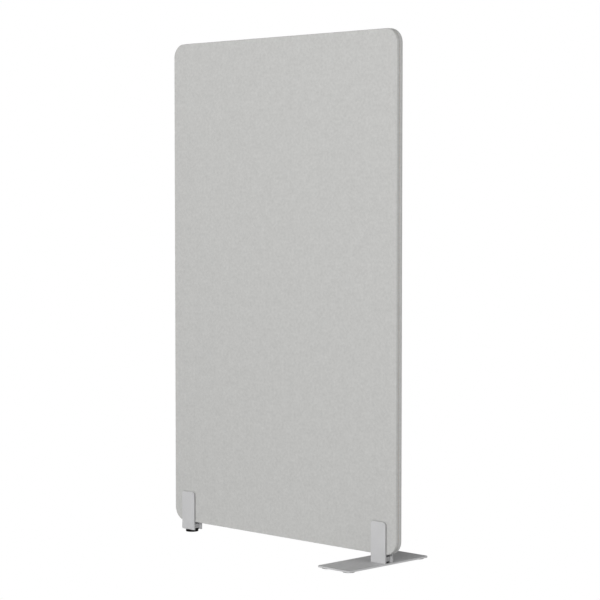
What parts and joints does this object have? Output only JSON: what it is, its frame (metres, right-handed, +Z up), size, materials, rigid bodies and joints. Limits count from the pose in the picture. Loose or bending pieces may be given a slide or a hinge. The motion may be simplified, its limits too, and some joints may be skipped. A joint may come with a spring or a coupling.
{
  "type": "partition wall",
  "caption": "Free-standing acoustic partition wall: a fabric-covered framed panel in U-shaped feet, with a base plate at one end and a height-adjustable glide at the other.",
  "frame": {"origin": "on the floor, under the middle of the panel", "axes": "+X along the panel towards the base plate, -Y towards the front, +Z up"},
  "size_m": [1, 0.358, 1.624],
  "materials": {
    "screen_fabric": "matte",
    "welt": "matte",
    "wadding": "matte",
    "core": "matte",
    "pine": "matte",
    "beech": "matte",
    "silver_lacquer": "satin",
    "bracket_aluminium": "satin",
    "zinc_steel": "satin",
    "black_nylon": "satin",
    "grey_pad": "matte"
  },
  "bodies": {
    "screen": {"front_cover": "screen_fabric", "back_cover": "screen_fabric", "edge_welt": "welt", "front_wadding": "wadding", "back_wadding": "wadding", "lower_core": "core", "upper_core": "core", "frame_top_rail": "pine", "frame_bottom_rail": "pine", "frame_middle_rail": "pine", "frame_left_stile": "pine", "frame_right_stile": "pine", "frame_dowels": "beech", "threaded_inserts": "zinc_steel", "left_bracket": "bracket_aluminium", "right_bracket": "bracket_aluminium", "left_cushion": "grey_pad", "right_cushion": "grey_pad", "left_foot_insert": "black_nylon", "right_foot_insert": "black_nylon", "left_bracket_bolts": "zinc_steel", "base_plate_bolts": "zinc_steel", "thread_bush": "zinc_steel", "base_plate": "silver_lacquer", "base_pads": "grey_pad"},
    "glide": {"glide_pad": "black_nylon"},
    "levelling_stud": {"glide_stud": "zinc_steel"}
  },
  "joints": [
    {"name": "glide_height", "type": "slide", "parent": "screen", "child": "glide", "axis": [0, 0, -1], "range_m": [0, 0.0105]},
    {"name": "stud_turn", "type": "hinge", "parent": "glide", "child": "levelling_stud", "pos_m": [-0.431, 0, 0.0023], "axis": [0, 0, 1], "range_deg": [0, 2520]}
  ],
  "couplings": [
    {"joint": "stud_turn", "follows": "glide_height", "rad_per_m": 4188.8}
  ]
}
